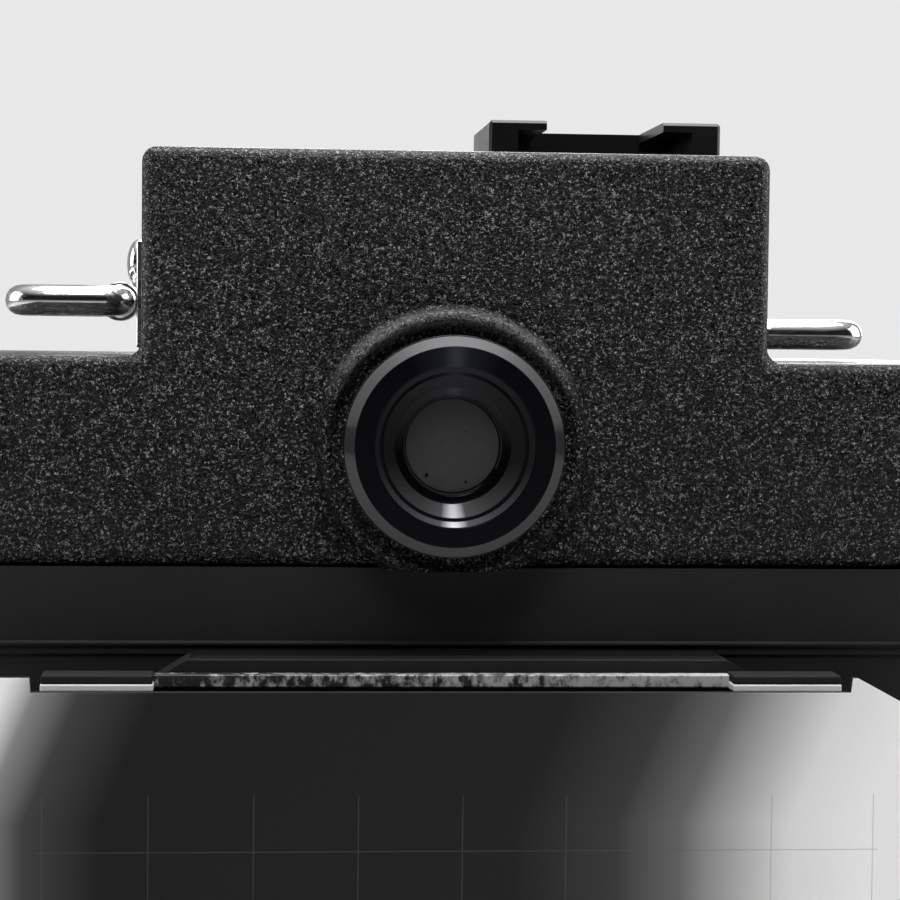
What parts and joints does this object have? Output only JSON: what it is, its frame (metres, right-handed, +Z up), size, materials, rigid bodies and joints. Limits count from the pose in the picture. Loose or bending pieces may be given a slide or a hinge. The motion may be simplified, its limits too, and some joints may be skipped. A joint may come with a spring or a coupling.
{
  "type": "folding view camera",
  "caption": "Folding metal view camera, open, with rangefinder housing, eyepiece, revolving ground glass back, bellows, geared bed and movable lens.",
  "frame": {"origin": "underside of the tripod plate, midway across the body and midway along its depth", "axes": "+X right as seen from behind, +Y towards the subject along the lens axis, +Z up"},
  "size_m": [0.1264, 0.2244, 0.1645],
  "materials": {
    "black_cast": "black crackle lacquer on a casting",
    "black_enamel": "satin black enamel",
    "black_anodised": "black anodised",
    "leatherette": "fine grained black covering",
    "chrome": "polished, lightly worn",
    "mirror_coat": "silvered",
    "steel": "fine brushed",
    "aluminium": "turned, satin",
    "brass": "machined",
    "clear_glass": "polished, coated",
    "matt_glass": "ground on its inner face",
    "bellows_skin": "matt black pleated cloth"
  },
  "bodies": {
    "body": {"body_shell": "black_enamel", "tripod_plate": "steel", "tripod_bush": "brass", "covering_left": "leatherette", "covering_right": "leatherette", "rangefinder_housing": "black_cast", "rangefinder_chassis": "aluminium", "eyepiece_ring": "black_anodised", "eyepiece_lens": "clear_glass", "eyepiece_snap_ring": "steel", "beam_splitter_prism": "clear_glass", "finder_objective": "clear_glass", "rangefinder_window": "clear_glass", "viewfinder_window": "clear_glass", "accessory_shoe": "black_enamel", "strap_lug_left": "chrome", "strap_lug_right": "chrome", "back_frame": "black_enamel", "bed_hinge": "steel", "bed_hinge_pin": "steel", "bellows": "bellows_skin"},
    "latch": {"bed_latch_button": "chrome"},
    "dial": {"frame_selector_dial": "aluminium"},
    "mirror": {"rangefinder_mirror": "mirror_coat"},
    "loop_left": {"strap_loop_left": "chrome"},
    "loop_right": {"strap_loop_right": "chrome"},
    "revolving_back": {"revolving_frame": "black_enamel"},
    "lock_top": {"slide_lock_top": "chrome"},
    "lock_bottom": {"slide_lock_bottom": "chrome"},
    "glass_panel": {"ground_glass_frame": "black_enamel", "ground_glass": "matt_glass"},
    "bed": {"bed": "black_enamel", "bed_foot": "steel", "bed_rail_left": "steel", "bed_rail_right": "steel"},
    "strut_left": {"strut_left": "steel"},
    "strut_right": {"strut_right": "steel"},
    "focus_drive": {"focus_pinion": "steel", "focus_knob_left": "aluminium", "focus_knob_right": "aluminium"},
    "lock_lever": {"focus_lock_lever": "chrome"},
    "track": {"focus_track": "steel", "focus_rack": "brass", "standard_carriage": "black_enamel", "standard_frame": "black_enamel"},
    "riser": {"riser_frame": "black_enamel"},
    "rise_knob_left": {"rise_knob_left": "aluminium"},
    "rise_knob_right": {"rise_knob_right": "aluminium"},
    "shifter": {"shift_frame": "black_enamel"},
    "tilter": {"tilt_frame": "black_enamel", "lens_board": "black_enamel", "shutter_body": "black_enamel", "front_lens_cell": "black_anodised", "front_lens": "clear_glass", "rear_lens_cell": "black_anodised", "rear_lens": "clear_glass"},
    "speed_ring": {"speed_ring": "aluminium"},
    "aperture_lever": {"aperture_lever": "chrome"},
    "cocking_lever": {"cocking_lever": "chrome"},
    "release_lever": {"release_lever": "chrome"}
  },
  "joints": [
    {"name": "latch_press", "type": "slide", "parent": "body", "child": "latch", "axis": [0, 0, 1], "range_m": [-0.002, 0], "stiffness_N_per_m": 300},
    {"name": "dial_turn", "type": "hinge", "parent": "body", "child": "dial", "pos_m": [0.046, 0.02, 0.1305], "axis": [0, 1, 0], "range_deg": [-60, 60]},
    {"name": "mirror_swing", "type": "hinge", "parent": "body", "child": "mirror", "pos_m": [-0.046, -0.012, 0], "axis": [0, 0, 1], "range_deg": [-3.2, 0.2]},
    {"name": "loop_left_swing", "type": "hinge", "parent": "body", "child": "loop_left", "pos_m": [-0.03485, -0.008, 0.1447], "axis": [0, 1, 0], "range_deg": [-18, 60]},
    {"name": "loop_right_swing", "type": "hinge", "parent": "body", "child": "loop_right", "pos_m": [0.03485, -0.008, 0.1419], "axis": [0, 1, 0], "range_deg": [-60, 4]},
    {"name": "back_turn", "type": "hinge", "parent": "body", "child": "revolving_back", "pos_m": [0, -0.0383, 0.062], "axis": [0, 1, 0], "range_deg": [-90, 90]},
    {"name": "lock_top_slide", "type": "slide", "parent": "revolving_back", "child": "lock_top", "axis": [1, 0, 0], "range_m": [-0.004, 0.004]},
    {"name": "lock_bottom_slide", "type": "slide", "parent": "revolving_back", "child": "lock_bottom", "axis": [1, 0, 0], "range_m": [-0.004, 0.004]},
    {"name": "glass_lift", "type": "slide", "parent": "revolving_back", "child": "glass_panel", "axis": [0, -1, 0], "range_m": [0, 0.006], "stiffness_N_per_m": 300, "springref_m": -0.006},
    {"name": "bed_drop", "type": "hinge", "parent": "body", "child": "bed", "pos_m": [0, 0.0352, 0.007], "axis": [1, 0, 0], "range_deg": [-15, 0]},
    {"name": "strut_left_swing", "type": "hinge", "parent": "bed", "child": "strut_left", "pos_m": [-0.0503, 0.07, 0.009], "axis": [1, 0, 0], "range_deg": [-0.5, 9]},
    {"name": "strut_right_swing", "type": "hinge", "parent": "bed", "child": "strut_right", "pos_m": [0.0503, 0.07, 0.009], "axis": [1, 0, 0], "range_deg": [-0.5, 9]},
    {"name": "focus_slide", "type": "slide", "parent": "bed", "child": "track", "axis": [0, 1, 0], "range_m": [-0.032, 0], "deforming": ["bellows"]},
    {"name": "focus_drive_turn", "type": "hinge", "parent": "bed", "child": "focus_drive", "pos_m": [0, 0.097, 0.0104], "axis": [1, 0, 0], "range_deg": [-5, 530]},
    {"name": "lock_lever_turn", "type": "hinge", "parent": "bed", "child": "lock_lever", "pos_m": [0.048, 0.1242, 0], "axis": [0, 0, 1], "range_deg": [-35, 35]},
    {"name": "rise_slide", "type": "slide", "parent": "track", "child": "riser", "axis": [0, 0, 1], "range_m": [0, 0.014]},
    {"name": "rise_knob_left_turn", "type": "hinge", "parent": "riser", "child": "rise_knob_left", "pos_m": [-0.049, 0.139, 0.062], "axis": [1, 0, 0], "range_deg": [-120, 120]},
    {"name": "rise_knob_right_turn", "type": "hinge", "parent": "riser", "child": "rise_knob_right", "pos_m": [0.049, 0.139, 0.062], "axis": [1, 0, 0], "range_deg": [-120, 120]},
    {"name": "shift_slide", "type": "slide", "parent": "riser", "child": "shifter", "axis": [1, 0, 0], "range_m": [-0.01, 0.01]},
    {"name": "tilt_swing", "type": "hinge", "parent": "shifter", "child": "tilter", "pos_m": [0, 0.1443, 0.062], "axis": [1, 0, 0], "range_deg": [-10, 10]},
    {"name": "speed_turn", "type": "hinge", "parent": "tilter", "child": "speed_ring", "pos_m": [0, 0.15, 0.062], "axis": [0, 1, 0], "range_deg": [-150, 150]},
    {"name": "aperture_turn", "type": "hinge", "parent": "tilter", "child": "aperture_lever", "pos_m": [0, 0.15, 0.062], "axis": [0, 1, 0], "range_deg": [-45, 45]},
    {"name": "cocking_turn", "type": "hinge", "parent": "tilter", "child": "cocking_lever", "pos_m": [0, 0.15, 0.062], "axis": [0, 1, 0], "range_deg": [0, 35], "stiffness_Nm_per_rad": 0.02, "springref_deg": -17.19},
    {"name": "release_turn", "type": "hinge", "parent": "tilter", "child": "release_lever", "pos_m": [0, 0.15, 0.062], "axis": [0, 1, 0], "range_deg": [0, 14], "stiffness_Nm_per_rad": 0.02, "springref_deg": -17.19}
  ],
  "couplings": [
    {"joint": "focus_drive_turn", "follows": "focus_slide", "rad_per_m": -285.71},
    {"joint": "mirror_swing", "follows": "focus_slide", "rad_per_m": 1.7},
    {"joint": "strut_left_swing", "follows": "bed_drop", "ratio": -0.53812},
    {"joint": "strut_right_swing", "follows": "bed_drop", "ratio": -0.53812}
  ]
}
